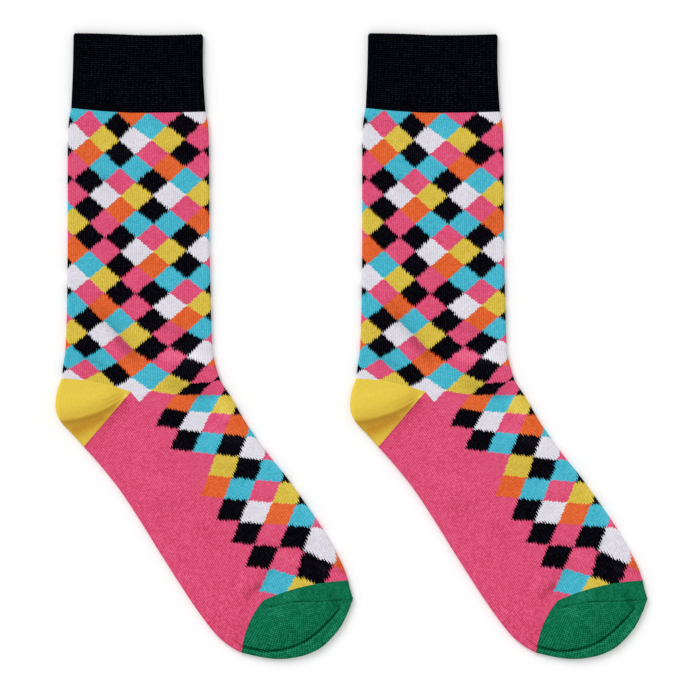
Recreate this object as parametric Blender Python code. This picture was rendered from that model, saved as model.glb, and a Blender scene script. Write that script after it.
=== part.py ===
"""A pair of crew socks lying flat, side by side, with the cuffs at +Y and the toes at -Y.

Each sock is six pieces: cuff, leg, heel, sole, instep and toe. Every piece is a knitted wall
of even thickness that runs round the sock's folds: a top layer, a rounded fold at the outline
and a bottom layer that rests on z = 0. The leg and the cuff go all the way round. The heel,
sole, instep and toe are half tubes, from the line between sole and instep out to the outline.
"""

from collections import namedtuple
from math import cos, dist, pi, sin

import bmesh
import bpy
from mathutils import Vector

# All sizes are in millimetres, in one sock's own frame: x across the leg from its centre line,
# y from the toe's tip up to the cuff, z up from the surface that the sock lies on.
MM = 0.001
PAIR_PITCH = 200.0  # from one sock to the same point of the other
SEAM_GAP = 0.3  # between neighbouring pieces
APEX_HOLE = 1.5  # how far a pocket's wall starts from the point that its rows run to
ROW_STEP = 17.0  # the longest step between two sections of a tube
FOLD_STEPS = 4  # facets round half a fold's outline
LAYER_STEPS = 4  # facets across one layer, from the middle to the fold
LEG_FLAT_HEIGHT = 3.6  # both layers of the leg, lying flat

# One row for each section of the leg: where it meets the back fold, the side of the leg that
# faces up and the front fold. A bow lifts the middle of that half of the row towards the cuff.
Section = namedtuple("Section", "back mid front back_bow front_bow height")
CUFF_SECTIONS = (
    Section((-44.0, 425.0), (-1.0, 423.8), (44.0, 424.4), 0.3, -0.3, 4.4),
    Section((-44.5, 399.0), (-3.0, 397.5), (44.0, 398.5), -0.2, -0.2, 4.6),
    Section((-45.6, 374.0), (-5.0, 370.8), (45.6, 371.5), -0.4, -0.2, 4.0),
)
LEG_SECTIONS = (
    CUFF_SECTIONS[-1],
    Section((-47.3, 364.0), (-4.0, 361.0), (47.3, 362.5), -0.5, -0.3, LEG_FLAT_HEIGHT),
    Section((-48.0, 345.5), (-2.0, 343.0), (48.0, 345.0), -0.5, -0.5, LEG_FLAT_HEIGHT),
    Section((-48.0, 287.0), (-1.0, 285.0), (48.3, 287.0), -0.5, -0.5, LEG_FLAT_HEIGHT),
    Section((-48.5, 238.0), (-2.0, 236.0), (49.3, 239.5), -0.3, -0.8, LEG_FLAT_HEIGHT),
    Section((-49.5, 211.0), (-3.5, 207.5), (50.0, 215.5), 0.3, -1.2, LEG_FLAT_HEIGHT),
    Section((-51.0, 200.0), (-4.5, 195.0), (51.2, 204.5), 1.0, -1.8, LEG_FLAT_HEIGHT),
    Section((-52.0, 190.5), (-5.0, 181.5), (54.0, 194.0), 2.0, -3.0, LEG_FLAT_HEIGHT),
)
HEEL_APEX = LEG_SECTIONS[-1].mid

# One row for each section of the foot: the sole's fold, the line between sole and instep and
# the instep's fold.
FOOT_SECTIONS = (
    Section((-37.0, 144.0), HEEL_APEX, (54.0, 194.0), 0.0, -3.0, LEG_FLAT_HEIGHT),
    Section((-30.3, 136.7), (6.0, 167.5), (56.7, 187.2), 0.0, -1.5, LEG_FLAT_HEIGHT),
    Section((-21.8, 126.6), (15.5, 152.5), (63.5, 177.0), 0.0, -0.5, LEG_FLAT_HEIGHT),
    Section((-11.3, 113.0), (27.0, 134.5), (72.6, 161.1), 0.0, 0.0, LEG_FLAT_HEIGHT),
    Section((3.1, 90.9), (41.5, 112.5), (87.7, 139.6), 0.0, 0.0, LEG_FLAT_HEIGHT),
    Section((15.6, 70.6), (54.0, 93.0), (102.5, 121.0), 0.0, 0.0, LEG_FLAT_HEIGHT),
    Section((36.8, 37.8), (75.0, 59.0), (125.3, 88.3), 0.5, 0.5, LEG_FLAT_HEIGHT),
    Section((52.0, 17.5), (80.0, 49.5), (135.0, 71.0), 1.5, 1.5, LEG_FLAT_HEIGHT),
    Section((61.9, 8.8), (82.7, 44.8), (139.4, 62.3), 2.3, 2.2, LEG_FLAT_HEIGHT),
    Section((70.2, 4.2), (85.0, 40.0), (142.5, 53.5), 3.0, 2.8, LEG_FLAT_HEIGHT),
)
TOE_APEX = FOOT_SECTIONS[-1].mid

# One row for each knitted row of a pocket that is worth a section, from its corner to the
# outline. A bow moves the middle of the row to the right of that direction.
Ray = namedtuple("Ray", "tip bow height")
HEEL_RAYS = (
    Ray(LEG_SECTIONS[-1].back, 2.0, LEG_FLAT_HEIGHT),
    Ray((-55.1, 182.0), 1.5, 4.6),
    Ray((-56.2, 172.5), 0.5, 5.4),
    Ray((-54.9, 165.3), 0.0, 5.6),
    Ray((-51.3, 159.5), 0.0, 5.0),
    Ray((-45.1, 153.0), 0.0, 4.2),
    Ray(FOOT_SECTIONS[0].back, 0.0, LEG_FLAT_HEIGHT),
)
TOE_RAYS = (
    Ray(FOOT_SECTIONS[-1].back, 3.0, LEG_FLAT_HEIGHT),
    Ray((86.0, 0.8), 1.5, 4.2),
    Ray((98.0, 0.0), 0.5, 4.6),
    Ray((110.0, 1.7), 0.0, 4.8),
    Ray((119.2, 5.0), 0.0, 4.8),
    Ray((126.8, 9.8), 0.0, 4.8),
    Ray((136.5, 20.5), 0.0, 4.6),
    Ray((142.3, 31.4), 0.0, 4.4),
    Ray((145.6, 40.6), -0.5, 4.2),
    Ray((143.8, 47.5), -1.5, 4.0),
    Ray(FOOT_SECTIONS[-1].front, -2.8, LEG_FLAT_HEIGHT),
)
RAY_STEPS = 2  # sections from one ray to the next

# The wall's thickness and the yarn of each piece, as linear red, green and blue.
Piece = namedtuple("Piece", "wall colour roughness")
PIECES = {
    "cuff": Piece(1.6, (0.006, 0.007, 0.012), 0.85),
    "leg": Piece(1.4, (0.390, 0.190, 0.200), 0.85),
    "heel": Piece(1.5, (0.775, 0.578, 0.065), 0.85),
    "sole": Piece(1.4, (0.708, 0.080, 0.181), 0.85),
    "instep": Piece(1.4, (0.390, 0.190, 0.200), 0.85),
    "toe": Piece(1.5, (0.006, 0.150, 0.067), 0.85),
}

BACK, FRONT = -1, 1  # the side of a half section, and the sign of its turn


def clear_scene():
    for old in list(bpy.data.objects):
        bpy.data.objects.remove(old, do_unlink=True)


def yarn_material(name, piece):
    material = bpy.data.materials.new(name)
    material.use_nodes = True
    shader = material.node_tree.nodes["Principled BSDF"]
    shader.inputs["Base Color"].default_value = (*piece.colour, 1.0)
    shader.inputs["Roughness"].default_value = piece.roughness
    shader.inputs["Metallic"].default_value = 0.0
    return material


def flat_row(row):
    """A table row as one list of numbers, so that two rows can be blended."""
    numbers = []
    for value in row:
        numbers.extend(value if isinstance(value, tuple) else (value,))
    return numbers


def between(rows, position):
    """The row at a fractional position, on a smooth curve through all the rows."""
    first = min(int(position), len(rows) - 2)
    part = position - first
    near = [flat_row(rows[min(max(first + k, 0), len(rows) - 1)]) for k in (-1, 0, 1, 2)]
    before, start, end, after = near
    blended = []
    for a, b, c, d in zip(before, start, end, after):
        leaving, arriving = (c - a) / 2, (d - b) / 2
        blended.append(
            b * (2 * part**3 - 3 * part**2 + 1)
            + leaving * (part**3 - 2 * part**2 + part)
            + c * (3 * part**2 - 2 * part**3)
            + arriving * (part**3 - part**2)
        )
    return blended


def positions(rows):
    """Fractional positions at most ROW_STEP apart along the middles of the rows."""
    found = [0.0]
    for k in range(len(rows) - 1):
        steps = max(1, round(dist(rows[k].mid, rows[k + 1].mid) / ROW_STEP + 0.3))
        found.extend(k + (step + 1) / steps for step in range(steps))
    return found


def half_layer(inner, tip, bow, height, side, inset, start, shift):
    """One surface of a half section: along the top from inner to the fold at tip, and back below.

    inset is the depth of this surface under the outer one, start is how far from inner it
    begins, and shift moves it sideways, away from a seam.
    """
    inner, tip = Vector(inner), Vector(tip)
    length = (tip - inner).length
    along = (tip - inner) / length
    across = Vector((-along.y, along.x)) * side
    radius = height / 2
    straight = length - radius

    def point(distance, z):
        share = distance / length
        place = inner + along * distance + across * (4 * bow * share * (1 - share) + shift)
        return Vector((place.x, place.y, z))

    runs = [start + (straight - start) * k / LAYER_STEPS for k in range(LAYER_STEPS)]
    top = [point(run, height - inset) for run in runs]
    fold = []
    for k in range(FOLD_STEPS + 1):
        angle = pi / 2 - pi * k / FOLD_STEPS
        reach = (radius - inset) * cos(angle)
        fold.append(point(straight + reach, radius + (radius - inset) * sin(angle)))
    bottom = [point(run, inset) for run in reversed(runs)]
    return top + fold + bottom


def ring(numbers, inset, shift):
    """One surface of a whole section: round the back fold, then round the front fold."""
    back, mid, front = numbers[0:2], numbers[2:4], numbers[4:6]
    back_bow, front_bow, height = numbers[6:9]
    behind = half_layer(mid, back, back_bow, height, BACK, inset, 0.0, shift)
    ahead = half_layer(mid, front, front_bow, height, FRONT, inset, 0.0, shift)
    top = (behind[0] + ahead[0]) / 2
    bottom = (behind[-1] + ahead[-1]) / 2
    return [top] + behind[1:-1] + [bottom] + ahead[-2:0:-1]


def seam_shift(k, count):
    """Half a seam's gap, away from the seam at either end of a piece, towards its middle."""
    if k == 0:
        return -SEAM_GAP / 2
    return SEAM_GAP / 2 if k == count - 1 else 0.0


def wall_mesh(name, outer, inner, closed):
    """A closed wall between two grids of points, whose rows are rings or open strips."""
    mesh = bmesh.new()
    outside = [[mesh.verts.new(point * MM) for point in row] for row in outer]
    inside = [[mesh.verts.new(point * MM) for point in row] for row in inner]
    columns = len(outer[0])
    spans = [(k, (k + 1) % columns) for k in range(columns if closed else columns - 1)]
    for grid in (outside, inside):
        for near, far in zip(grid, grid[1:]):
            for a, b in spans:
                mesh.faces.new((near[a], near[b], far[b], far[a]))
    for end in (0, -1):
        for a, b in spans:
            mesh.faces.new((outside[end][a], outside[end][b], inside[end][b], inside[end][a]))
    if not closed:
        for side in (0, -1):
            for k in range(len(outer) - 1):
                near_out, far_out = outside[k][side], outside[k + 1][side]
                near_in, far_in = inside[k][side], inside[k + 1][side]
                mesh.faces.new((near_out, far_out, far_in, near_in))
    bmesh.ops.recalc_face_normals(mesh, faces=mesh.faces)
    data = bpy.data.meshes.new(name)
    mesh.to_mesh(data)
    mesh.free()
    return data


def tube(name, sections, wall):
    """A piece that goes all the way round, such as the leg."""
    places = positions(sections)
    layers = []
    for inset in (0.0, wall):
        layers.append([
            ring(between(sections, place), inset, seam_shift(k, len(places)))
            for k, place in enumerate(places)
        ])
    return wall_mesh(name, layers[0], layers[1], closed=True)


def half_tube(name, sections, side, wall):
    """The sole or the instep: from the line between them round its own fold."""
    places = positions(sections)
    layers = []
    for inset in (0.0, wall):
        rows = []
        for k, place in enumerate(places):
            numbers = between(sections, place)
            tip = numbers[0:2] if side == BACK else numbers[4:6]
            bow = numbers[6] if side == BACK else numbers[7]
            shift = seam_shift(k, len(places))
            rows.append(half_layer(
                numbers[2:4], tip, bow, numbers[8], side, inset, SEAM_GAP / 2, shift
            ))
        layers.append(rows)
    return wall_mesh(name, layers[0], layers[1], closed=False)


def pocket(name, apex, rays, wall):
    """The heel or the toe: rows that fan out from one corner round the outline."""
    count = (len(rays) - 1) * RAY_STEPS + 1
    layers = []
    for inset in (0.0, wall):
        rows = []
        for k in range(count):
            *tip, bow, height = between(rays, k / RAY_STEPS)
            shift = seam_shift(k, count)
            rows.append(half_layer(apex, tip, bow, height, BACK, inset, APEX_HOLE, shift))
        layers.append(rows)
    return wall_mesh(name, layers[0], layers[1], closed=False)


def sock_meshes():
    """The six pieces of one sock, in its own frame."""
    return {
        "cuff": tube("cuff", CUFF_SECTIONS, PIECES["cuff"].wall),
        "leg": tube("leg", LEG_SECTIONS, PIECES["leg"].wall),
        "heel": pocket("heel", HEEL_APEX, HEEL_RAYS, PIECES["heel"].wall),
        "sole": half_tube("sole", FOOT_SECTIONS, BACK, PIECES["sole"].wall),
        "instep": half_tube("instep", FOOT_SECTIONS, FRONT, PIECES["instep"].wall),
        "toe": pocket("toe", TOE_APEX, TOE_RAYS, PIECES["toe"].wall),
    }


def middle(meshes, axis):
    """The middle of one sock along an axis, in metres."""
    values = [vertex.co[axis] for mesh in meshes.values() for vertex in mesh.vertices]
    return (min(values) + max(values)) / 2


def place_sock(side, x, meshes):
    """Stands one sock's pieces in the pair, with its middle at x, under an empty of its own."""
    holder = bpy.data.objects.new(f"{side}_sock", None)
    holder.location = (x * MM - middle(meshes, 0), -middle(meshes, 1), 0.0)
    bpy.context.collection.objects.link(holder)
    for piece, mesh in meshes.items():
        node = bpy.data.objects.new(f"{side}_{piece}", mesh)
        node.parent = holder
        bpy.context.collection.objects.link(node)


def main():
    clear_scene()
    meshes = sock_meshes()
    for piece, mesh in meshes.items():
        mesh.shade_smooth()
        mesh.set_sharp_from_angle(angle=pi / 3)
        mesh.materials.append(yarn_material(f"{piece}_yarn", PIECES[piece]))
    place_sock("left", -PAIR_PITCH / 2, meshes)
    place_sock("right", PAIR_PITCH / 2, meshes)
    bpy.context.view_layer.update()


main()
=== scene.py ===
import math

import bmesh
import bpy
import numpy as np
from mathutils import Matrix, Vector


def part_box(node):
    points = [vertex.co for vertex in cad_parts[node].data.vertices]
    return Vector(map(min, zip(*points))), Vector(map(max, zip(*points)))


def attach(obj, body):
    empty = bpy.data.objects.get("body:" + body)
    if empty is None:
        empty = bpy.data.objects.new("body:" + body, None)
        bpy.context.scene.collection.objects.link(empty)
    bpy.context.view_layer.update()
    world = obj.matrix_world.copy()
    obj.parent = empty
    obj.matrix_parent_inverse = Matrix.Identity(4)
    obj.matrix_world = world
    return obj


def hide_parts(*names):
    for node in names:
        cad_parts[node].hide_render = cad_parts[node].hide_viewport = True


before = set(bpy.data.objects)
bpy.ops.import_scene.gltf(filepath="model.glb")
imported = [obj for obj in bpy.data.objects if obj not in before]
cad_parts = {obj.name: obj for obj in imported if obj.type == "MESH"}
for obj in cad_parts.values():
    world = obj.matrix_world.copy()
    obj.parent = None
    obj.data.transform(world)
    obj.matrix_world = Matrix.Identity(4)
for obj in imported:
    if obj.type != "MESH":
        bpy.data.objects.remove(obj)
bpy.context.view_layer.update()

print("frame loaded:", len(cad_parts), "nodes")

# the socks' form, in millimetres: x across the leg, y from the toe's tip up to the cuff
mm = 0.001
wales = 144  # stitches round the leg: 36 from each fold to the middle of a layer
quarter = wales // 4
legCourses = 260  # knitted rows from the heel to the cuff
layFlat = 4.1  # two layers of jersey and the air between them
back, front = -1, 1  # the two halves of a section

# back x, back y, middle x, middle y, front x, front y, back bow, front bow, height
cuffSections = [
    (-44.0, 425.0, -1.0, 423.8, 44.0, 424.4, 0.3, -0.3, 4.5),
    (-44.5, 399.0, -3.0, 397.5, 44.0, 398.5, -0.2, -0.2, 4.8),
    (-45.6, 374.0, -5.0, 370.8, 45.6, 371.5, -0.4, -0.2, 4.3),
]
legSections = [
    cuffSections[-1],
    (-47.3, 364.0, -4.0, 361.0, 47.3, 362.5, -0.5, -0.3, layFlat),
    (-48.0, 345.5, -2.0, 343.0, 48.0, 345.0, -0.5, -0.5, layFlat),
    (-48.0, 287.0, -1.0, 285.0, 48.3, 287.0, -0.5, -0.5, layFlat),
    (-48.5, 238.0, -2.0, 236.0, 49.3, 239.5, -0.3, -0.8, layFlat),
    (-49.5, 211.0, -3.5, 207.5, 50.0, 215.5, 0.3, -1.2, layFlat),
    (-51.0, 200.0, -4.5, 195.0, 51.2, 204.5, 1.0, -1.8, layFlat),
    (-52.0, 190.5, -5.0, 181.5, 54.0, 194.0, 2.0, -3.0, layFlat),
]
footSections = [
    (-37.0, 144.0, -5.0, 181.5, 54.0, 194.0, 0.0, -3.0, layFlat),
    (-30.3, 136.7, 6.0, 167.5, 56.7, 187.2, 0.0, -1.5, layFlat),
    (-21.8, 126.6, 15.5, 152.5, 63.5, 177.0, 0.0, -0.5, layFlat),
    (-11.3, 113.0, 27.0, 134.5, 72.6, 161.1, 0.0, 0.0, layFlat),
    (3.1, 90.9, 41.5, 112.5, 87.7, 139.6, 0.0, 0.0, layFlat),
    (15.6, 70.6, 54.0, 93.0, 102.5, 121.0, 0.0, 0.0, layFlat),
    (36.8, 37.8, 75.0, 59.0, 125.3, 88.3, 0.5, 0.5, layFlat),
    (52.0, 17.5, 80.0, 49.5, 135.0, 71.0, 1.5, 1.5, layFlat),
    (61.9, 8.8, 82.7, 44.8, 139.4, 62.3, 2.3, 2.2, layFlat),
    (70.2, 4.2, 85.0, 40.0, 142.5, 53.5, 3.0, 2.8, layFlat),
]
heelApex = footSections[0][2:4]
toeApex = footSections[-1][2:4]

# tip x, tip y, bow, height: the rows that fan out from a pocket's corner
heelRays = [
    (-52.0, 190.5, 2.0, layFlat),
    (-55.1, 182.0, 1.5, 4.6),
    (-56.2, 172.5, 0.5, 5.4),
    (-54.9, 165.3, 0.0, 5.6),
    (-51.3, 159.5, 0.0, 5.0),
    (-45.1, 153.0, 0.0, 4.2),
    (-37.0, 144.0, 0.0, layFlat),
]
# the toe's rows also say how deep the groove inside its rim is there
toeRays = [
    (70.2, 4.2, 3.0, layFlat, 1.2),
    (86.0, 0.8, 1.5, 4.2, 1.7),
    (98.0, 0.0, 0.5, 4.4, 1.8),
    (110.0, 1.7, 0.0, 4.5, 1.7),
    (119.2, 5.0, 0.0, 4.4, 1.7),
    (126.8, 9.8, 0.0, 4.3, 1.7),
    (136.5, 20.5, 0.0, 4.2, 1.7),
    (142.3, 31.4, 0.0, 4.2, 1.3),
    (144.8, 38.2, -0.3, 4.2, 0.2),
    (145.7, 40.6, -0.5, 4.1, 0.0),
    (145.2, 42.6, -0.8, 4.1, 0.0),
    (143.8, 47.5, -1.5, 4.1, 0.0),
    (142.5, 53.5, -2.8, layFlat, 0.0),
]


def crease(route, height, shade, left, fade, right=None, spread=(1, 1)):
    # a soft ridge or trough; left and right are its width and sharpness on each side of its route,
    # fade is the share of its run over which each end dies away, spread its width at each end
    # a crease's shade is painted into the yarn's colour: painted shade where positive, a painted highlight
    # where negative
    return dict(route=route, height=height, shade=shade, left=left, right=right or left,
                fade=fade, spread=spread)


# the creases of the top layer
heelFold = [(-8.5, 177.6), (-12.3, 174.8), (-19.2, 170.7), (-26.2, 167.2), (-32.0, 165.1),
            (-39.8, 162.9), (-49.3, 161.3), (-54.0, 160.9)]
creases = [
    # the heel's fold: the cloth above it swells and ends in a crisp edge over a trough; painted shade
    # darkens the trough, the cloth just above the edge and two fine wrinkles
    crease(heelFold, 1.7, 0.0, left=(1.6, 1.6), right=(13.0, 2), fade=(0.45, 0.05)),
    crease(heelFold, -0.5, 0.56, left=(16.0, 2.5), right=(1.2, 1.7), fade=(0.07, 0.05),
           spread=(0.46, 1.12)),
    crease([(x, y + 3.0) for x, y in heelFold], 0.0, 0.22, left=(3.0, 2), right=(6.5, 1.7),
           fade=(0.1, 0.1)),
    crease([(-21.5, 165.8), (-24.6, 163.5), (-30.6, 160.6), (-38.5, 156.9), (-46, 154.5)], 0.0, 0.23,
           left=(3.6, 2), right=(2.4, 2), fade=(0.25, 0.1), spread=(0.5, 1.4)),
    crease([(-11, 180.2), (-20, 176.6), (-32, 172.6)], -0.15, 0.12, left=(0.8, 2), fade=(0.3, 0.6)),
    crease([(-12, 177.6), (-19, 173.9), (-27, 170.7)], -0.18, 0.20, left=(0.6, 2), fade=(0.2, 0.6)),
    # soft troughs and ridges at the ankle, with painted shade in the troughs and painted highlights on the
    # ridges
    crease([(15, 190), (28, 185), (42, 183.5), (56, 185.5)], -0.6, 0.36, left=(5, 2), fade=(0.3, 0.3)),
    crease([(34, 178.8), (44, 177.8), (54, 179)], -0.3, 0.30, left=(1.7, 2), fade=(0.3, 0.3)),
    crease([(12, 208), (30, 205), (50, 203)], 0.35, -0.42, left=(4.2, 2), fade=(0.3, 0.3)),
    crease([(-36, 245), (-19, 226.5), (-7, 209.5), (2.5, 197)], -0.4, 0.34, left=(4.5, 2),
           fade=(0.3, 0.35)),
    crease([(-23, 216), (-13, 208), (-5, 199)], 0.2, -0.14, left=(3, 2), fade=(0.4, 0.4)),
    crease([(8, 231), (21, 225), (35, 218)], -0.3, 0.26, left=(3.5, 2), fade=(0.35, 0.35)),
    crease([(-42, 206), (-30, 202), (-18, 196.5)], -0.3, 0.32, left=(3.4, 2), fade=(0.35, 0.35)),
    crease([(-18, 221), (-8, 211), (3, 203)], -0.1, 0.20, left=(3.6, 2), fade=(0.4, 0.4)),
    crease([(-12, 200), (-3, 194), (6, 188)], 0.15, -0.16, left=(3.6, 2), fade=(0.4, 0.4)),
    crease([(50, 177), (58, 170), (64, 161)], 0.2, -0.34, left=(5.5, 2), fade=(0.3, 0.3)),
    crease([(44, 157), (60, 151), (80, 144)], 0.2, -0.22, left=(5.5, 2), fade=(0.3, 0.3)),
    # the instep's slight unevenness: shallow hollows with painted shade and rises with painted highlights,
    # one along the fold's rim
    crease([(46, 134), (60, 129), (74, 128)], -0.15, 0.12, left=(5, 2), fade=(0.4, 0.4)),
    crease([(72, 123), (84, 119), (98, 113)], 0.15, -0.12, left=(7, 2), fade=(0.4, 0.4)),
    crease([(80, 98), (94, 100), (112, 96)], 0.15, -0.15, left=(6, 2), fade=(0.4, 0.4)),
    crease([(100, 82), (112, 79), (122, 80)], -0.15, 0.12, left=(5, 2), fade=(0.4, 0.4)),
    crease([(80, 47), (88, 58), (98, 71)], -0.2, 0.24, left=(3.2, 2), fade=(0.3, 0.5)),
    crease([(90, 73), (100, 69), (111, 67)], 0.2, -0.20, left=(4, 2), fade=(0.4, 0.4)),
    crease([(82, 77.5), (91, 76.5), (102, 77)], -0.1, 0.20, left=(2.8, 2), fade=(0.4, 0.4)),
    crease([(109, 78), (113, 74), (117, 69)], -0.1, 0.17, left=(2.8, 2), fade=(0.4, 0.4)),
    crease([(121, 67), (126, 61), (129, 53)], 0.12, -0.20, left=(2.6, 2), fade=(0.4, 0.4)),
    crease([(130, 70), (136, 63), (139, 55)], -0.15, 0.24, left=(2.4, 2), fade=(0.4, 0.4)),
    crease([(84, 141), (103, 120.5), (115, 101), (127, 82)], 0.1, -0.20, left=(3.4, 2), fade=(0.2, 0.2)),
    crease([(4, 172), (24, 172), (46, 173)], 0.3, -0.05, left=(5, 2), fade=(0.5, 0.5)),
    # the leg's slight unevenness: shallow hollows with painted shade and rises with painted highlights
    crease([(0, 362), (8, 357), (15, 351)], 0.15, -0.16, left=(4, 2), fade=(0.4, 0.4)),
    crease([(-14, 348), (-4, 342), (8, 339)], 0.12, -0.12, left=(4, 2), fade=(0.4, 0.4)),
    crease([(-30, 334), (-22, 325), (-14, 314)], -0.15, 0.14, left=(5, 2), fade=(0.4, 0.4)),
    crease([(14, 339.5), (26, 338.5), (40, 339.5)], 0.12, -0.15, left=(2.2, 2), fade=(0.4, 0.4)),
    crease([(11, 346), (24, 345), (37, 345)], -0.1, 0.16, left=(2.4, 2), fade=(0.4, 0.4)),
    crease([(-30, 346), (-17, 345), (-4, 340)], 0.12, -0.16, left=(2.8, 2), fade=(0.4, 0.4)),
    crease([(14, 365), (25, 363), (37, 360)], -0.1, 0.17, left=(3, 2), fade=(0.4, 0.4)),
    crease([(45, 339), (45.5, 326), (45, 312)], 0.1, -0.13, left=(3, 2), fade=(0.4, 0.4)),
    crease([(33, 302.5), (41, 298.5), (48, 297)], -0.1, 0.14, left=(3, 2), fade=(0.4, 0.3)),
    crease([(-20, 282), (-2, 276), (14, 268)], -0.12, 0.08, left=(5, 2), fade=(0.4, 0.4)),
    crease([(20, 318), (32, 309), (44, 304)], -0.12, 0.09, left=(5, 2), fade=(0.4, 0.4)),
    # the sole's shallow waves, with painted shade in their troughs and painted highlights on their crests
    crease([(6, 107), (21.4, 102), (38, 103)], -0.4, 0.24, left=(5, 2), fade=(0.35, 0.5)),
    crease([(-8, 128), (12, 120), (38, 117)], 0.3, -0.10, left=(6.5, 2), fade=(0.4, 0.4)),
    crease([(40, 96), (47, 84), (54, 71)], -0.35, 0.20, left=(5.5, 2), fade=(0.4, 0.5)),
    crease([(-4, 152), (4, 143), (10, 132)], 0.2, -0.10, left=(8, 2), fade=(0.5, 0.5)),
    crease([(14, 148), (20, 138), (28, 128)], -0.15, 0.09, left=(3.5, 2), fade=(0.5, 0.5)),
    # the folds that pull towards the toe's corner, with painted shade in their troughs and painted
    # highlights on their ridges
    crease([(68.5, 63), (64.6, 53), (63, 46), (62.2, 37)], -0.3, 0.26, left=(1.6, 2), fade=(0.4, 0.5)),
    crease([(73.5, 60), (69.4, 50), (67, 40)], 0.35, -0.22, left=(2.6, 2), fade=(0.4, 0.5)),
    crease([(71.5, 40.2), (77.2, 45), (84, 51.5)], -0.75, 0.74, left=(2.3, 2), fade=(0.3, 0.25)),
    crease([(76, 34), (71.5, 24), (68.3, 12)], -0.3, 0.22, left=(3.2, 2), fade=(0.4, 0.2)),
    crease([(63.5, 15.0), (67.2, 10.9), (71.0, 8.6)], -0.7, 0.55, left=(1.0, 2), fade=(0.5, 0.05)),
    crease([(52, 27), (60, 18), (66, 11)], -0.2, 0.19, left=(6, 2), fade=(0.4, 0.02)),
    crease([(70, 29), (74, 36), (77.5, 42)], -0.1, 0.15, left=(3, 2), fade=(0.4, 0.3)),
    # the toe's swell, its corner fold and the band inside the groove: painted highlights on the swell and
    # on the rim outside the groove, painted shade in the fold, the band and a few small hollows
    crease([(90, 31), (97, 31)], 0.5, -0.10, left=(7, 2), fade=None),
    crease([(93, 31.8), (96, 30.6)], 0.15, -0.20, left=(2.6, 2), fade=None),
    crease([(100, 42.0), (107, 43.6)], 0.2, -0.26, left=(2.6, 2), fade=None),
    crease([(129.6, 47.5), (131.4, 42.5), (133.6, 38.2), (137.4, 35.0)], -0.5, 0.44, left=(3.2, 2),
           fade=(0.3, 0.2)),
    crease([(124, 9.5), (132, 18.5), (137.6, 27.0), (141, 35.0)], 0.1, -0.24, left=(2.6, 2),
           fade=(0.3, 0.2)),
    crease([(104, 12), (114.5, 16.8), (121, 22.5), (128.5, 30)], -0.1, 0.20, left=(2.6, 2),
           fade=(0.4, 0.2)),
    crease([(71.1, 8.6), (79, 7.0), (88, 6.2)], -0.2, 0.30, left=(1.1, 2), fade=None),
    crease([(84, 12.5), (97, 13.5), (110, 18.5), (121, 26.5)], -0.2, 0.16, left=(5, 2), fade=(0.3, 0.4)),
    crease([(86.6, 36.2), (90.6, 36.0)], -0.3, 0.26, left=(1.4, 2), fade=None),
    crease([(104.8, 20.6), (106.2, 19.0)], -0.25, 0.45, left=(0.9, 2), fade=None),
    # the toe's linking seam: a fine groove with painted shade, and a raised edge below it with a painted
    # highlight
    crease([(86.4, 34.6), (95.3, 36.6), (107.4, 38.9), (125.5, 39.2), (137.7, 40.1), (144.5, 40.1)],
           -0.55, 0.48, left=(0.5, 2), fade=(0.1, 0.05)),
    crease([(86.2, 33.4), (92.0, 35.2), (98.0, 37.0), (107.4, 38.1), (125.5, 38.2), (137.7, 39.1)],
           0.3, -0.45, left=(0.6, 2), fade=(0.05, 0.8)),
]
# the underside rests, so its creases only lift off the surface; their shade is painted shade
underCreases = [
    crease([(-8, 178), (-24, 170), (-42, 165)], 0.5, 0.15, left=(4, 2), fade=(0.4, 0.4)),
    crease([(20, 184), (36, 181), (50, 183)], 0.35, 0.08, left=(4, 2), fade=(0.5, 0.5)),
    crease([(8, 108), (20, 103), (34, 104)], 0.25, 0.06, left=(5, 2), fade=(0.5, 0.5)),
    crease([(74, 38), (84, 47), (96, 53)], 0.3, 0.08, left=(4, 2), fade=(0.5, 0.5)),
    crease([(88, 30), (98, 24), (112, 23)], 0.3, 0.06, left=(5, 2), fade=(0.5, 0.5)),
]
# lines along where one piece is picked up from the next: darker along each join, and lighter on a short
# raised rib by the heel's corner, a painted highlight
heelEdge = [(-5, 181.5), (-21, 162.75), (-37, 144)]
toeEdge = [(85, 40), (79.2, 31.9), (74.8, 23.2), (71.8, 14.0), (70.2, 4.2)]
edgeLines = {
    "heel": [crease(heelEdge, 0.0, 0.10, left=(0.7, 2), fade=(0.2, 0.01)),
             crease([(-7, 180.2), (-12, 174.4), (-17, 168.5)], 0.15, -0.7, left=(0.8, 2), fade=(0.2, 0.6))],
    "sole": [crease(heelEdge, 0.0, 0.38, left=(0.8, 2), fade=(0.1, 0.01)),
             crease(heelEdge, -0.05, 0.08, left=(4.5, 2), fade=(0.1, 0.01)),
             crease(toeEdge, -0.1, 0.2, left=(0.7, 2), fade=(0.1, 0.01))],
    "toe": [crease(toeEdge, -0.15, 0.55, left=(0.7, 2), fade=(0.05, 0.01))],
}


shape = {
    "dish": 0.45,  # how far a layer's middle lies lower than beside its folds
    "wall": 1.1,  # the cloth's thickness
    "waleDepth": 0.13,  # the valley between two wales
    "perWale": 3,  # columns for each wale
    "rowPitch": 1.5,  # rows along the tubes
    "innerPitch": 9.0,  # rows inside the tubes, which the eye doesn't reach
    "innerSteps": 40,  # columns inside the half tubes
    "foldWales": 4,  # how far past a fold the fine columns go
    "pocketRise": 1.3,  # how soon a pocket's rows gain their own height, from its corner out
    "shadeTurn": 4,  # the wales over which the top's shade gives way to the underside's
    "shadeEnd": 3,  # where that ends, in wales past the fold
    "tableSteps": 60,  # steps for each row of a table when its curve is measured
    "creaseSteps": 25,  # points along a crease's route
    "sharpAngle": 70,  # degrees between faces past which an edge is shaded sharp
    "mergeDistance": 0.00001,  # in metres, where a shell closes on itself
}


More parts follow.
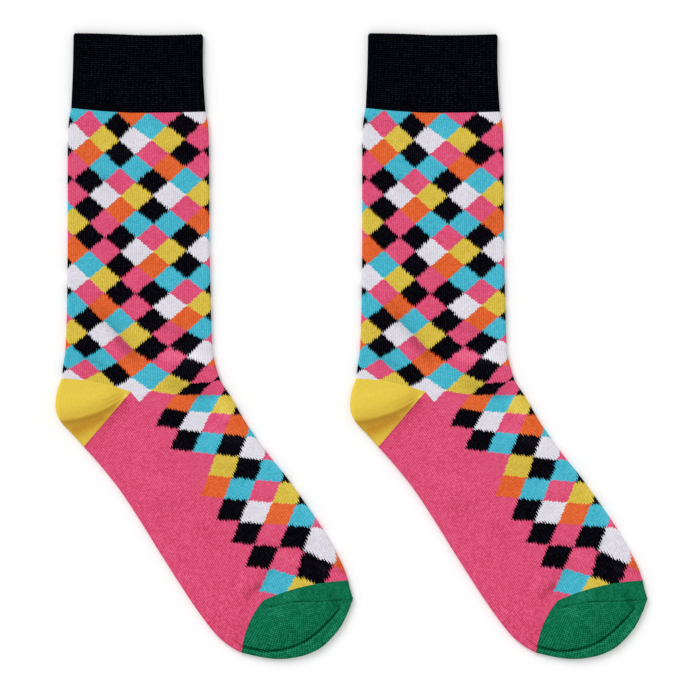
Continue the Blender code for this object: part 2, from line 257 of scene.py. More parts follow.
def rowsAt(table, places):
    # rows at fractional places, on a smooth curve through all the rows of a table
    table = np.array(table, float)
    first = np.clip(places.astype(int), 0, len(table) - 2)
    part = (places - first)[:, None]
    near = [table[np.clip(first + k, 0, len(table) - 1)] for k in (-1, 0, 1, 2)]
    before, start, end, after = near
    leaving, arriving = (end - before) / 2, (after - start) / 2
    return (
        start * (2 * part**3 - 3 * part**2 + 1)
        + leaving * (part**3 - 2 * part**2 + part)
        + end * (3 * part**2 - 2 * part**3)
        + arriving * (part**3 - part**2)
    )


def evenPlaces(table, column, pitch):
    # places about pitch apart along the line through one column's points, and the run so far
    fine = np.linspace(0, len(table) - 1, shape["tableSteps"] * len(table))
    line = rowsAt(table, fine)[:, column:column + 2]
    run = np.concatenate([[0], np.cumsum(np.hypot(*np.diff(line, axis=0).T))])
    wanted = np.linspace(0, run[-1], round(run[-1] / pitch) + 1)
    return np.interp(wanted, run, fine), wanted


def smooth(share):
    share = np.clip(share, 0, 1)
    return share * share * (3 - 2 * share)


def creaseShare(fold, x, y):
    # 1 along a crease's route, falling off to 0 at its sides and, if it fades, at its ends
    route = rowsAt(fold["route"], np.linspace(0, len(fold["route"]) - 1, shape["creaseSteps"]))
    steps = len(route) - 1
    nearest = np.full(x.shape, np.inf)
    side, run = np.zeros(x.shape), np.zeros(x.shape)
    for k in range(steps):
        (startX, startY), (stepX, stepY) = route[k], route[k + 1] - route[k]
        part = ((x - startX) * stepX + (y - startY) * stepY) / (stepX**2 + stepY**2)
        part = np.clip(part, 0, 1)
        offX, offY = x - startX - part * stepX, y - startY - part * stepY
        away = np.hypot(offX, offY)
        closer = away < nearest
        nearest = np.where(closer, away, nearest)
        side = np.where(closer, stepX * offY - stepY * offX, side)
        run = np.where(closer, (k + part) / steps, run)
    width, power = (np.where(side > 0, a, b) for a, b in zip(fold["left"], fold["right"]))
    atStart, atEnd = fold["spread"]
    width = width * (atStart + (atEnd - atStart) * run)
    share = np.exp(-((nearest / width) ** power))
    if fold["fade"]:
        fadeIn, fadeOut = fold["fade"]
        share = smooth(run / fadeIn) * smooth((1 - run) / fadeOut) * share
    return share


def creased(table, x, y):
    # the height and the shade that a table's creases give each point
    height, shade = np.zeros(x.shape), np.zeros(x.shape)
    for fold in table:
        share = creaseShare(fold, x, y)
        height += fold["height"] * share
        shade += fold["shade"] * share
    return height, shade


def halfRows(table, places, side):
    # inner x, inner y, tip x, tip y, bow and height of one half of each section
    rows = rowsAt(table, places)
    tip = (0, 1) if side == back else (4, 5)
    return rows[:, (2, 3, *tip, 6 if side == back else 7, 8)]


def pocketRows(table, places, apex):
    rows = rowsAt(table, places)
    corner = np.tile(apex, (len(rows), 1))
    return np.hstack([corner, rows[:, :4]])


def onHalf(rows, side, wale, inset, shift, middleHeight=None, edges=(), groove=None):
    # points of half sections: wale is 0 to 36 from the middle to the fold on top, then to 72 below
    innerX, innerY, tipX, tipY, bow, height = (rows[:, k, None] for k in range(6))
    length = np.hypot(tipX - innerX, tipY - innerY)
    alongX, alongY = (tipX - innerX) / length, (tipY - innerY) / length
    radius = height / 2
    straight = length - radius
    reach = straight + radius * math.pi / 2
    gone = (1 - np.abs(wale / quarter - 1)) * reach
    turn = np.clip((gone - straight) / radius, 0, math.pi / 2)
    distance = np.minimum(gone, straight) + (radius - inset) * np.sin(turn)
    lift = radius + (radius - inset) * np.cos(turn)
    part = distance / length
    across = (4 * bow * part * (1 - part) + shift) * side
    x = innerX + alongX * distance - alongY * across
    y = innerY + alongY * distance + alongX * across
    share = gone / reach
    sunk = shape["dish"] * (1 - share**2) ** 2
    if middleHeight is not None:
        sunk = sunk + (height - middleHeight) * (1 - smooth(share * shape["pocketRise"]))
    raised, topShade = creased([*creases, *edges], x, y)
    lifted, underShade = creased(underCreases, x, y)
    if groove is not None:
        grooveHeight, grooveShade = groove(reach - gone)
        raised, topShade = raised + grooveHeight, topShade + grooveShade
    onTop = lift + (raised - sunk) * np.cos(turn)
    below = height - lift + lifted * np.cos(turn)
    z = np.where(wale > quarter, below, onTop)
    topPart = smooth((quarter + shape["shadeEnd"] - wale) / shape["shadeTurn"])
    shade = topPart * topShade + (1 - topPart) * underShade
    return np.stack([x, y, z, shade], axis=-1)


def waleSteps(fine, coarse):
    # places round a half section: fine on top and round the fold, coarse on the underside
    turned = quarter + shape["foldWales"]
    top = np.arange(turned * fine) / fine
    under = np.arange(turned * coarse, 2 * quarter * coarse + 1) / coarse
    return np.concatenate([top, under])


def waleValley(wale):
    # a narrow valley at each whole wale, down to just past the fold
    off = np.abs(wale - np.rint(wale))
    seen = wale < quarter + shape["foldWales"] - 0.5
    return shape["waleDepth"] * np.clip(1 - off * shape["perWale"], 0, 1) * seen


def shell(name, points, u, v, closeRows):
    # a grid of points that closes on itself, with its stitch counts as UV and its shade as an attribute
    rows, columns = points.shape[0] - 1, points.shape[1] - 1
    bm = bmesh.new()
    bmesh.ops.create_grid(bm, x_segments=columns, y_segments=rows, size=0.5)
    mesh = bpy.data.meshes.new(name)
    bm.to_mesh(mesh)
    bm.free()
    place = np.zeros(len(mesh.vertices) * 3, np.float32)
    mesh.vertices.foreach_get("co", place)
    place = place.reshape(-1, 3) + 0.5
    column = np.rint(place[:, 0] * columns).astype(int)
    row = np.rint(place[:, 1] * rows).astype(int)
    mesh.vertices.foreach_set("co", (points[row, column, :3] * mm).astype(np.float32).ravel())
    shade = mesh.attributes.new("shade", "FLOAT", "POINT")
    shade.data.foreach_set("value", points[row, column, 3].astype(np.float32))
    corner = np.zeros(len(mesh.loops), np.int32)
    mesh.loops.foreach_get("vertex_index", corner)
    stitches = np.stack([u[row, column], v[row, column]], axis=-1)[corner]
    mesh.uv_layers.new(name="stitches").data.foreach_set("uv", stitches.astype(np.float32).ravel())
    bm = bmesh.new()
    bm.from_mesh(mesh)
    rim = [vertex for vertex in bm.verts if vertex.is_boundary]
    bmesh.ops.remove_doubles(bm, verts=rim, dist=shape["mergeDistance"])
    if not closeRows:
        openEdges = [edge for edge in bm.edges if edge.is_boundary]
        bmesh.ops.holes_fill(bm, edges=openEdges, sides=0)
    bmesh.ops.recalc_face_normals(bm, faces=bm.faces)
    loose = sum(not edge.is_manifold for edge in bm.edges)
    bm.to_mesh(mesh)
    bm.free()
    mesh.shade_smooth()
    mesh.set_sharp_from_angle(angle=math.radians(shape["sharpAngle"]))
    triangles = sum(len(face.vertices) - 2 for face in mesh.polygons)
    print(" ", name, triangles, "triangles,", loose, "open edges")
    return mesh


def tubeShell(name, table, run0, rows, away, valley):
    # rows are (place, inset, shift, run) round the wall's own closed profile
    place, inset, shift, run = (np.array(column, float)[:, None] for column in zip(*rows))
    outer = inset < shape["wall"] / 2
    halves = []
    for side in (back, front):
        deep, drop = valley(away[None, :], run)
        halves.append(onHalf(halfRows(table, place[:, 0], side), side, away[None, :],
                             inset + np.where(outer, deep, 0.0), shift - drop))
    for column in (0, -1):  # the halves share their middle lines
        middle = (halves[0][:, column] + halves[1][:, column]) / 2
        halves[0][:, column] = halves[1][:, column] = middle
    points = np.concatenate([halves[0][:, ::-1], halves[1][:, 1:]], axis=1)
    u = quarter + np.concatenate([-away[::-1], away[1:]])
    v = (run0 - run) / course
    return shell(name, points, *np.broadcast_arrays(u[None, :], v), closeRows=True)


def halfShell(name, rows, side, run, middleHeight=None):
    # the wall of a half section: out over the top, back below, and home inside
    outer = waleSteps(shape["perWale"], 1)
    inner = np.linspace(wales / 2, 0, shape["innerSteps"] + 1)
    wale = np.concatenate([outer, inner, outer[:1]])[None, :]
    valley = waleValley(outer)
    inset = np.concatenate([valley, np.full(len(inner), shape["wall"]), valley[:1]])[None, :]
    points = onHalf(rows, side, wale, inset, 0.0, middleHeight, edgeLines.get(name, ()))
    u, v = np.broadcast_arrays(quarter + side * wale, -run[:, None] / course)
    return shell(name, points, u, v, closeRows=False)


legPlaces, legRun = evenPlaces(legSections, 2, shape["rowPitch"])
legLength = legRun[-1]
course = legLength / legCourses

# the cuff: a tube of 1x1 rib with a rolled lip
cuff = {
    "ribDepth": 0.14,  # the purl valley between two ribs
    "lipDepth": 0.25,  # the share of that depth at the lip
    "depthRun": 2.0,  # and how far from the lip it is whole
    "perWale": 4,  # columns for each wale
    "lipSteps": 6,  # rows over the lip
    "scallop": 0.35,  # how far each rib stands up at the lip
    "scallopRun": 1.2,  # how far from the lip that dies away
    "corner": 1.3,  # the radius of the lip's two corners
    "cornerRun": 1.5,  # and how far from the lip they show
    "colour": (0.0054, 0.0065, 0.0098),  # of the stitches that stand out, painted lighter as lit
    "behind": (0.0, 0.0001, 0.0006),  # of those between them, in painted shade
}
cuffPlaces, cuffRun = evenPlaces(cuffSections, 2, shape["rowPitch"])


def ribValley(wale, fromLip):
    # how deep the purl stitches lie, and how far the lip falls between ribs and at its corners
    purl = 0.5 - 0.5 * np.cos(math.pi * wale)
    whole = smooth(fromLip / cuff["depthRun"])
    deep = cuff["ribDepth"] * purl * (cuff["lipDepth"] + (1 - cuff["lipDepth"]) * whole)
    radius, corner = cuffSections[0][8] / 2, cuff["corner"]
    foldWales = quarter * radius * math.pi / 2 / (-cuffSections[0][0] + radius * (math.pi / 2 - 1))
    bend = np.clip(np.abs(wale - quarter) / foldWales, 0, 1) * math.pi / 2
    fromEdge = np.minimum(radius * (1 - np.cos(bend)), corner)
    fall = corner - np.sqrt(corner**2 - (corner - fromEdge) ** 2)
    scallop = cuff["scallop"] * purl * np.exp(-((fromLip / cuff["scallopRun"]) ** 2))
    return deep, fall * np.exp(-fromLip / cuff["cornerRun"]) + scallop


def cuffMesh():
    wall = shape["wall"]
    rows = [(place, 0.0, 0.0, run) for place, run in zip(cuffPlaces[1:], cuffRun[1:])]
    places, runs = evenPlaces(cuffSections, 2, shape["innerPitch"])
    rows += [(place, wall, 0.0, run) for place, run in zip(places[:0:-1], runs[:0:-1])]
    for k in range(cuff["lipSteps"] + 1):  # back over the lip, from the inside
        angle = math.pi * k / cuff["lipSteps"]
        inset = wall / 2 * (1 + math.cos(angle))
        rows.append((0.0, inset, -wall / 2 * (1 - math.sin(angle)), 0.0))
    rows.append(rows[0])
    top = legLength + cuffRun[-1]
    return tubeShell("cuff", cuffSections, top, rows, waleSteps(cuff["perWale"], 2), ribValley)


# the leg: the patterned tube
def legMesh():
    rows = [(place, 0.0, 0.0, run) for place, run in zip(legPlaces, legRun)]
    places, runs = evenPlaces(legSections, 2, shape["innerPitch"])
    rows += [(place, shape["wall"], 0.0, run) for place, run in zip(places[::-1], runs[::-1])]
    rows.append(rows[0])
    return tubeShell("leg", legSections, legLength, rows, waleSteps(shape["perWale"], 1),
                     lambda wale, run: (waleValley(wale) + 0 * run, 0.0))


# sole and instep: half tubes that meet under the ankle and along the foot
sole = {"colour": (0.712, 0.074, 0.173), "deep": (0.48, 0.034, 0.088)}  # deep is the yarn's colour in a fold's painted shade


def footMesh(name, side):
    places, run = evenPlaces(footSections, 2, shape["rowPitch"])
    return halfShell(name, halfRows(footSections, places, side), side, run)


# the heel: a pocket whose rows fan out from the ankle
# deep: the yarn's colour in the fold's painted shade
heel = {"rowPitch": 0.5, "colour": (0.790, 0.585, 0.072), "deep": (0.45, 0.158, 0.012)}


def heelMesh():
    places, run = evenPlaces(heelRays, 0, heel["rowPitch"])
    return halfShell("heel", pocketRows(heelRays, places, heelApex), back, run, layFlat)


# the toe: a pocket with a deep groove inside its rim
toe = {
    "rowPitch": 0.55,
    "groove": [(71.1, 8.4), (82.9, 6.0), (90.3, 5.7), (101.3, 7.3), (110.4, 10.7), (116.7, 14.4),
               (123.3, 19.8), (130.5, 27.1), (136.5, 34.3)],  # where it runs
    "routeSteps": 200,  # points along it
    "fullDepth": 1.7,  # the depth at which its shade is whole
    "cut": dict(at=0.0, width=0.62, depth=0.8, shade=1.2),  # at is measured towards the toe's middle; a part's shade is painted shade, or a painted highlight where it is negative
    "soft": dict(at=1.2, width=2.2, depth=0.2, shade=0.12),  # the slope beside the cut
    "ridgeHighlight": dict(at=-2.1, width=0.9, depth=-0.32, shade=-0.25),  # the edge that stands up outside it, with a painted highlight
    "grooveReach": 2.6,  # the band round it that has fine columns
    "inSteps": 60,  # columns from the corner to that band
    "grooveSteps": 30,  # within it
    "outSteps": 20,  # from it to the fold
    "underSteps": 40,  # on the underside
    # the linking seam, where the way the stitches run changes
    "seam": [(84, 34.6), (95.3, 36.6), (107.4, 38.9), (125.5, 39.2), (137.7, 40.1), (150, 40.3)],
    "centre": (110.0, 73.5),  # what the stitches below the seam run round
    "around": 50.0,  # the ring that their counts are taken on
    "slope": (1.15, 0.5),  # how the stitches above the seam slant
    "stitch": 1.36,  # the size of one
    "colour": (0.0034, 0.139, 0.060),
    # deep: the yarn's colour in the painted shade of the groove and folds
    "deep": (0.0008, 0.062, 0.022),
}


def toeMesh():
    places, run = evenPlaces(toeRays, 0, toe["rowPitch"])
    full = rowsAt(toeRays, places)
    rows = pocketRows(toeRays, places, toeApex)
    length = np.hypot(rows[:, 2] - rows[:, 0], rows[:, 3] - rows[:, 1])
    radius = rows[:, 5] / 2
    reach = length - radius + radius * math.pi / 2
    route = rowsAt(toe["groove"], np.linspace(0, len(toe["groove"]) - 1, toe["routeSteps"])) - toeApex
    tip = rows[:, 2:4] - toeApex
    away = np.interp(np.arctan2(tip[:, 1], tip[:, 0]), np.arctan2(route[:, 1], route[:, 0]),
                     np.hypot(route[:, 0], route[:, 1]))
    centre = length - away + radius * (math.pi / 2 - 1)  # from the fold, measured over it
    depth = np.maximum(full[:, 4], 0)[:, None]
    knots = np.stack([0 * reach, reach - centre - toe["grooveReach"],
                      reach - centre + toe["grooveReach"], reach], axis=1) / reach[:, None]
    bands = []
    for k, steps in enumerate((toe["inSteps"], toe["grooveSteps"], toe["outSteps"])):
        part = np.arange(steps + (k == 2))[None, :] / steps
        bands.append(knots[:, k, None] + (knots[:, k + 1] - knots[:, k])[:, None] * part)
    outer = np.concatenate(bands, axis=1) * quarter
    under = np.linspace(quarter, 2 * quarter, toe["underSteps"] + 1)[None, 1:] + 0 * outer[:, :1]
    inside = np.concatenate([under[:, ::-3], outer[:, ::-2]], axis=1)
    wale = np.concatenate([outer, under, inside, outer[:, :1]], axis=1)
    count = outer.shape[1] + under.shape[1]
    inset = np.zeros(wale.shape[1])
    inset[count:-1] = shape["wall"]

    def groove(fromFold):
        off = fromFold - centre[:, None]  # positive on the side of the toe's middle
        height, shade = 0.0, 0.0
        for part in (toe["ridgeHighlight"], toe["cut"], toe["soft"]):
            share = np.exp(-(((off - part["at"]) / part["width"]) ** 2))
            height = height - part["depth"] * share
            shade = shade + part["shade"] * share
        return depth * height, depth / toe["fullDepth"] * shade

    points = onHalf(rows, back, wale, inset[None, :], 0.0, layFlat, edgeLines["toe"], groove)
    x, y = points[..., 0], points[..., 1]
    offX, offY = x - toe["centre"][0], y - toe["centre"][1]
    aboveSeam = y > np.interp(x, *zip(*toe["seam"]))
    along, across = toe["slope"]
    u = np.where(aboveSeam, x * along + y * across, np.hypot(offX, offY)) / toe["stitch"]
    v = np.where(aboveSeam, y * along - x * across, np.arctan2(offX, -offY) * toe["around"]) / toe["stitch"]
    return shell("toe", points, u, v, closeRows=False)


# shader graphs, written as expressions
class Wire:
    # one output socket
    def __init__(self, graph, socket):
        self.graph, self.socket = graph, socket

    def maths(self, operation, *others):
        return self.graph.maths(operation, self, *others)

    def __add__(self, other):
        return self.maths("ADD", other)

    def __sub__(self, other):
        return self.maths("SUBTRACT", other)

    def __mul__(self, other):
        return self.maths("MULTIPLY", other)

    def __truediv__(self, other):
        return self.maths("DIVIDE", other)

    def __mod__(self, other):
        return self.maths("FLOORED_MODULO", other)

    def __pow__(self, other):
        return self.maths("POWER", other)

    def __rsub__(self, other):
        return self.graph.maths("SUBTRACT", other, self)

    def __abs__(self):
        return self.maths("ABSOLUTE")

    __radd__, __rmul__ = __add__, __mul__


class Graph:
    def __init__(self, name):
        self.material = bpy.data.materials.new(name)
        self.material.use_nodes = True
        self.tree = self.material.node_tree
        self.shader = self.tree.nodes["Principled BSDF"]

    def add(self, kind, settings, inputs, output=0):
        node = self.tree.nodes.new(kind)
        for name, value in settings.items():
            if name == "stops":
                self.setStops(node.color_ramp, value)
            else:
                setattr(node, name, value)
        for key, value in inputs.items():
            self.feed(node.inputs[key], value)
        return Wire(self, node.outputs[output])

    def setStops(self, ramp, stops):
        ramp.interpolation = "CONSTANT"
        for place, _ in stops[2:]:
            ramp.elements.new(place)
        for element, (place, colour) in zip(ramp.elements, stops):
            element.position = place
            element.color = (*colour, 1.0)

    def feed(self, socket, value):
        if isinstance(value, Wire):
            self.tree.links.new(value.socket, socket)
        else:
            socket.default_value = value

    def maths(self, operation, *values):
        return self.add("ShaderNodeMath", {"operation": operation}, dict(enumerate(values)))

    def mix(self, share, a, b, blend="MIX"):
        settings = {"data_type": "RGBA", "blend_type": blend}
        return self.add("ShaderNodeMix", settings, {0: share, 6: a, 7: b}, output=2)

    def grey(self, value):
        return self.add("ShaderNodeCombineColor", {}, {0: value, 1: value, 2: value})


knit = {
    "yarnGain": 0.93,  # a yarn's own colour beside how it looks in the studio's light
    "slant": 0.55,  # how far a stitch's legs rise from its middle to its edge, in courses
    "valley": 3.0,  # how narrow the valley between two wales is
    "valleyTone": 0.25,  # the tone of a wale's middle; its valleys lie 1 below that, in painted shade
    "fuzz": (1600.0, 3.0),  # the scale and detail of the noise for loose fibres
    "patch": (85.0, 2.0),  # and for broad patches
    "ridgeTone": 2.0,  # how much brighter a crease with a negative shade gets, a painted highlight
    "speckFrom": 0.3,  # how dark a tone still catches light
    "bump": 0.35,
    "bumpDepth": 0.00018,
    "bumpShare": {"wave": 0.35, "valley": 0.8, "fuzz": 0.3, "extra": 0.2},  # of a stitch's height
    "roughness": 0.92,
    "fuzzRoughness": 0.1,
    "sheenRoughness": 0.5,
}


def yarn(colour):
    return tuple(min(1.0, part * knit["yarnGain"]) for part in colour)


def stitchWires(graph):
    uv = graph.add("ShaderNodeUVMap", {"uv_map": "stitches"}, {})
    split = graph.add("ShaderNodeSeparateXYZ", {}, {0: uv})
    u, v = split, Wire(graph, split.socket.node.outputs[1])
    edge = abs(u.maths("FRACT") * 2.0 - 1.0)  # 0 in the middle of a wale, 1 between two
    rowLine = v - edge * knit["slant"]
    return u, v, edge, rowLine


def finishKnit(graph, colour, deep, u, edge, rowLine, look, raisedAndLit=0.0):
    # look: how much the tone varies across wales and courses, as painted shade and light of the stitches,
    # and at random across stitches, fibres and patches, how much deeper or brighter the yarn gets with the
    # tone, and the light that its fibres catch
    valley = edge ** knit["valley"]
    wave = (rowLine * (2 * math.pi)).maths("COSINE") * 0.5
    cell = graph.add("ShaderNodeCombineXYZ", {}, {0: u.maths("FLOOR"), 1: rowLine.maths("FLOOR")})
    uneven = graph.add("ShaderNodeTexWhiteNoise", {"noise_dimensions": "2D"}, {"Vector": cell})
    where = graph.add("ShaderNodeTexCoord", {}, {}, output=3)
    fuzz, patch = (
        graph.add("ShaderNodeTexNoise", {}, {"Vector": where, "Scale": scale, "Detail": detail})
        for scale, detail in (knit["fuzz"], knit["patch"])
    )
    shade = graph.add("ShaderNodeAttribute", {"attribute_name": "shade"}, {}, output=2)
    # painted shade from the creases, mixed towards the yarn's fold colour, and painted highlights where
    # their shade is negative
    paintedShade = shade.maths("MAXIMUM", 0.0).maths("MINIMUM", 1.0)
    ridgeHighlight = (0.0 - shade).maths("MAXIMUM", 0.0)
    # painted shade in the valleys between wales and between courses, random tone across stitches, fibres
    # and patches, and the painted highlights
    toneAndPaintedLight = (knit["valleyTone"] - valley) * look["wale"] + wave * look["course"]
    toneAndPaintedLight = toneAndPaintedLight + (uneven - 0.5) * look["stitch"] + (fuzz - 0.5) * look["fuzz"]
    toneAndPaintedLight = toneAndPaintedLight + (patch - 0.5) * look["patch"] + raisedAndLit + ridgeHighlight * knit["ridgeTone"]
    shaded = graph.mix(paintedShade, colour, deep)
    shaded = graph.add("ShaderNodeGamma", {}, {0: shaded, 1: 1.0 - toneAndPaintedLight * look["deeper"]})
    shaded = graph.mix(1.0, shaded, graph.grey(1.0 + toneAndPaintedLight * look["brighter"]), "MULTIPLY")
    if look["speck"]:
        caught = (toneAndPaintedLight + knit["speckFrom"]).maths("MAXIMUM", 0.0) * look["speck"]
        shaded = graph.mix(1.0, shaded, graph.grey(caught), "ADD")
    share = knit["bumpShare"]
    height = wave * share["wave"] - valley * share["valley"] + (fuzz - 0.5) * share["fuzz"]
    height = height + raisedAndLit * share["extra"]
    bump = graph.add("ShaderNodeBump", {}, {"Strength": knit["bump"], "Distance": knit["bumpDepth"],
                                             "Height": height})
    shader = graph.shader.inputs
    graph.feed(shader["Base Color"], shaded)
    graph.feed(shader["Normal"], bump)
    graph.feed(shader["Roughness"], knit["roughness"] - (fuzz - 0.5) * knit["fuzzRoughness"])
    graph.feed(shader["Specular IOR Level"], look["specular"])
    graph.feed(shader["Sheen Weight"], look["sheen"])
    graph.feed(shader["Sheen Roughness"], knit["sheenRoughness"])
    return graph.material


def plainKnit(name, piece, look):
    graph = Graph(name)
    u, _, edge, rowLine = stitchWires(graph)
    colour, deep = ((*yarn(piece[part]), 1.0) for part in ("colour", "deep"))
    return finishKnit(graph, colour, deep, u, edge, rowLine, look)


# the leg's and instep's pattern: a chart of diamonds
pattern = {
    "halfWales": 8,  # half a diamond's width
    "halfCourses": 13,  # and half its height
    "start": 4.5,  # puts a diamond's middle on the line between sole and instep
    "lineShift": 5.0,  # how far along the chart each line of diamonds starts
    "soleColumns": (5.0, 14.0),  # the diamonds on the sole's two edges, which its yarn fills
    "soleFrom": -1.5,  # from this line of diamonds down
    "black": (0.0005, 0.0001, 0.0019),
    "pink": (0.708, 0.080, 0.181),
    "cyan": (0.060, 0.450, 0.588),
    "white": (0.723, 0.701, 0.768),
    "orange": (0.730, 0.119, 0.027),
    "yellow": (0.672, 0.497, 0.061),
    "evenRows": "black pink black cyan black orange black pink black".split(),
    "oddRows": "white yellow pink cyan cyan orange pink white yellow".split(),
    "ragged": 2.2,  # how many courses the black yarn's edge wanders from wale to wale
    "raggedCourses": 9.0,  # the courses over which that stays the same
    "teeth": 2.0,  # and how many it wanders within each wale
    "creaseShade": 0.55,  # how much darker the yarns get in a fold
}


def patternKnit(name, look):
    graph = Graph(name)
    u, _, edge, rowLine = stitchWires(graph)
    wale, row = u.maths("FLOOR"), rowLine.maths("FLOOR")
    chart = pattern["evenRows"] + pattern["oddRows"]
    stops = [(k / len(chart), yarn(pattern[colour])) for k, colour in enumerate(chart)]
    blackStops = [(k / len(chart), (1.0,) * 3 if colour == "black" else (0.0,) * 3)
                  for k, colour in enumerate(chart)]
    repeat = len(pattern["evenRows"])

    def diamond(courseShift):
        across = (wale + pattern["start"]) / pattern["halfWales"]
        up = (row + 0.5 + courseShift) / pattern["halfCourses"]
        rising = ((across + up) / 2.0).maths("FLOOR")
        falling = ((up - across) / 2.0).maths("FLOOR")
        column, line = rising - falling, rising + falling
        place = ((column + line * pattern["lineShift"]) / 2.0) % float(repeat)
        return (place + (line % 2.0) * float(repeat) + 0.5) / float(len(chart)), column, line

    block = (row / pattern["raggedCourses"]).maths("FLOOR")
    cell = graph.add("ShaderNodeCombineXYZ", {}, {0: wale % float(wales), 1: block})
    chance = graph.add("ShaderNodeTexWhiteNoise", {"noise_dimensions": "2D"}, {"Vector": cell})
    plain, *plainPlace = diamond(0.0)
    teeth = (0.5 - edge) * pattern["teeth"]
    ragged, *raggedPlace = diamond((chance - 0.5) * pattern["ragged"] + teeth)
    plainBlack = graph.add("ShaderNodeValToRGB", {"stops": blackStops}, {0: plain})
    raggedBlack = graph.add("ShaderNodeValToRGB", {"stops": blackStops}, {0: ragged})
    useRagged = plainBlack.maths("MAXIMUM", raggedBlack)
    chosen = plain + (ragged - plain) * useRagged
    column, line = (a + (b - a) * useRagged for a, b in zip(plainPlace, raggedPlace))
    colour = graph.add("ShaderNodeValToRGB", {"stops": stops}, {0: chosen})
    first, last = (column.maths("COMPARE", place, 0.2) for place in pattern["soleColumns"])
    soleEdge = (first + last) * line.maths("LESS_THAN", pattern["soleFrom"])
    colour = graph.mix(soleEdge, colour, (*yarn(pattern["pink"]), 1.0))
    # the yarns' colour in painted fold shade
    deep = graph.mix(pattern["creaseShade"], colour, (0.0, 0.0, 0.0, 1.0))
    return finishKnit(graph, colour, deep, u, edge, rowLine, look)


def cuffKnit(name, look):
    graph = Graph(name)
    u, v, edge, rowLine = stitchWires(graph)
    rib = (u * math.pi).maths("COSINE") * 0.5 + 0.5  # 1 on a rib, 0 in the purl valley
    line = ((v + rib * 0.5) * math.pi).maths("COSINE")  # every second course stands out
    line = line.maths("MAXIMUM", 0.0) ** 2.0
    # stitches that stand out are painted in the lit colour and the rest in painted shade; the same share
    # lifts them in the bump and brightens their tone
    share = line * (0.5 + rib * 0.5)
    colour = graph.mix(share, (*yarn(cuff["behind"]), 1.0), (*yarn(cuff["colour"]), 1.0))
    return finishKnit(graph, colour, (0.0, 0.0, 0.0, 1.0), u, edge, rowLine, look, share)


jersey = {"wale": 2.9, "course": 1.4, "stitch": 1.4, "fuzz": 2.6, "patch": 0.5, "deeper": 0.14,
          "brighter": 0.095, "speck": 0.0, "specular": 0.01, "sheen": 0.02}
looks = {
    "cuff": dict(jersey, wale=0.6, course=0.5, stitch=1.9, patch=0.8, deeper=0.15, specular=0.0,
                 sheen=0.0),
    "pattern": dict(jersey, wale=1.3, course=0.8, stitch=0.9, fuzz=1.8, deeper=0.145, speck=0.0055,
                    specular=0.0, sheen=0.004),
    "heel": dict(jersey, wale=0.5, course=0.3, stitch=0.4, fuzz=0.8, patch=0.3),
    "sole": dict(jersey, patch=0.25),
    "toe": dict(jersey, wale=1.8, course=2.0, stitch=1.0, fuzz=1.8, patch=0.15, deeper=0.205,
                brighter=0.02, specular=0.0, sheen=0.004),
}
materials = {
    "cuff": cuffKnit("navyRib", looks["cuff"]),
    "pattern": patternKnit("diamondJersey", looks["pattern"]),
    "heel": plainKnit("yellowJersey", heel, looks["heel"]),
    "sole": plainKnit("pinkJersey", sole, looks["sole"]),
    "toe": plainKnit("greenJersey", toe, looks["toe"]),
}
print("materials made")

pieces = {
    "cuff": dict(make=cuffMesh, material="cuff", slot="cuff_navy", flat=(0.180, 0.052), area=None),
    "leg": dict(make=legMesh, material="pattern", slot="patterned_knit", flat=(0.192, 0.187), area=None),
    "heel": dict(make=heelMesh, material="heel", slot="heel_yellow", flat=(0.100, 0.062), area=0.0040),
    "sole": dict(make=lambda: footMesh("sole", back), material="sole", slot="sole_pink",
                 flat=(0.092, 0.172), area=None),
    "instep": dict(make=lambda: footMesh("instep", front), material="pattern", slot="patterned_knit",
                   flat=(0.108, 0.170), area=None),
    "toe": dict(make=toeMesh, material="toe", slot="toe_green", flat=(0.110, 0.100), area=0.0070),
}
meshes = {name: piece["make"]() for name, piece in pieces.items()}
print("meshes made")

seamGap = 0.15 * mm  # how far the cuff's solid stops short of the section at its top
for side in ("left", "right"):
    # the cuff's box gives the leg's centre line and the cuff's top edge
    low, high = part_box(side + "_cuff")
    start = ((low.x + high.x) / 2, high.y + seamGap - cuffSections[0][1] * mm, 0.0)
    for name, piece in pieces.items():
        mesh = meshes[name].copy()
        place = np.zeros(len(mesh.vertices) * 3, np.float32)
        mesh.vertices.foreach_get("co", place)
        place = place.reshape(-1, 3) + np.array(start, np.float32)
        mesh.vertices.foreach_set("co", place.ravel())
        mesh.materials.append(materials[piece["material"]])
        made = bpy.data.objects.new(side + name.capitalize(), mesh)
        bpy.context.scene.collection.objects.link(made)
        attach(made, "root")
        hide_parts(f"{side}_{name}")
print("pieces placed")

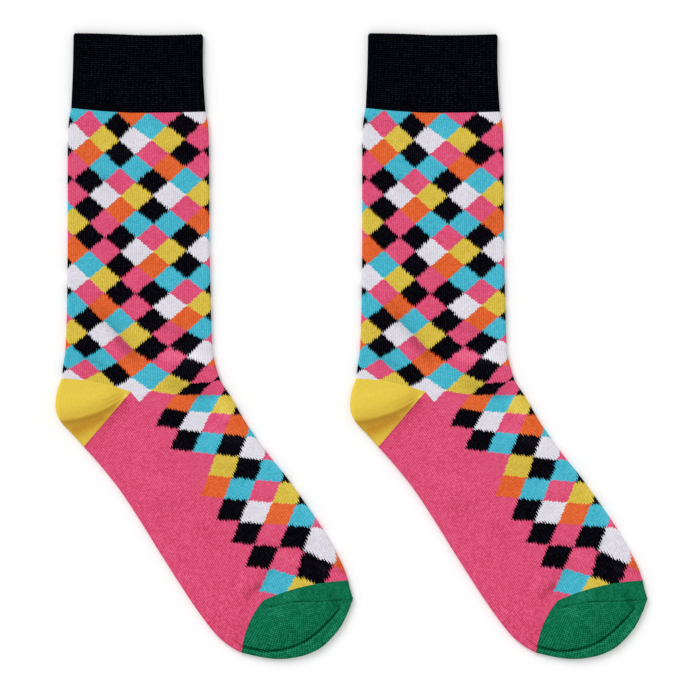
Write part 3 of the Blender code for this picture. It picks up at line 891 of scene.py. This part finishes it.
# floor, light and camera
studio = {
    "floorSize": 24.0,
    "floorDrop": 0.00005,  # keeps it just clear of the socks' underside
    "floorColour": 0.95,
    "dome": 0.835,  # soft light from all sides
    "sun": 1.26,
    "sunFrom": (-0.55, 0.77, 0.70),
    "sunSpread": 31.0,  # degrees, which softens its shadows
}


def makeFloor():
    bm = bmesh.new()
    bmesh.ops.create_grid(bm, x_segments=1, y_segments=1, size=studio["floorSize"] / 2)
    bmesh.ops.translate(bm, verts=bm.verts, vec=(0, 0, -studio["floorDrop"]))
    mesh = bpy.data.meshes.new("floor")
    bm.to_mesh(mesh)
    bm.free()
    floor = bpy.data.objects.new("floor", mesh)
    bpy.context.scene.collection.objects.link(floor)
    graph = Graph("paleFloor")
    graph.feed(graph.shader.inputs["Base Color"], (*[studio["floorColour"]] * 3, 1.0))
    graph.feed(graph.shader.inputs["Roughness"], 1.0)
    graph.feed(graph.shader.inputs["Specular IOR Level"], 0.0)
    mesh.materials.append(graph.material)


def makeLight():
    world = bpy.data.worlds.new("softDome")
    world.use_nodes = True
    bpy.context.scene.world = world
    world.node_tree.nodes["Background"].inputs["Color"].default_value = (*[studio["dome"]] * 3, 1.0)
    sun = bpy.data.lights.new("key", "SUN")
    sun.energy = studio["sun"]
    sun.angle = math.radians(studio["sunSpread"])
    lamp = bpy.data.objects.new("key", sun)
    x, y, z = studio["sunFrom"]
    lamp.rotation_euler = (math.atan2(math.hypot(x, y), z), 0, math.atan2(x, -y))
    bpy.context.scene.collection.objects.link(lamp)


camera = {
    "lens": 135.0,
    "sensor": 36.0,
    "field": 0.476,  # the width of floor that the picture takes in
    "middle": (-0.00094, -0.0026),
    "near": 0.05,
    "far": 60.0,
}


def makeCamera():
    data = bpy.data.cameras.new("camera")
    data.lens = camera["lens"]
    data.sensor_width = camera["sensor"]
    data.clip_start, data.clip_end = camera["near"], camera["far"]
    eye = bpy.data.objects.new("camera", data)
    eye.location = (*camera["middle"], camera["field"] * camera["lens"] / camera["sensor"])
    bpy.context.scene.collection.objects.link(eye)
    bpy.context.scene.camera = eye


makeFloor()
makeLight()
makeCamera()
bpy.context.scene.view_settings.view_transform = "Standard"
print("floor, light and camera made")

bpy.context.view_layer.update()
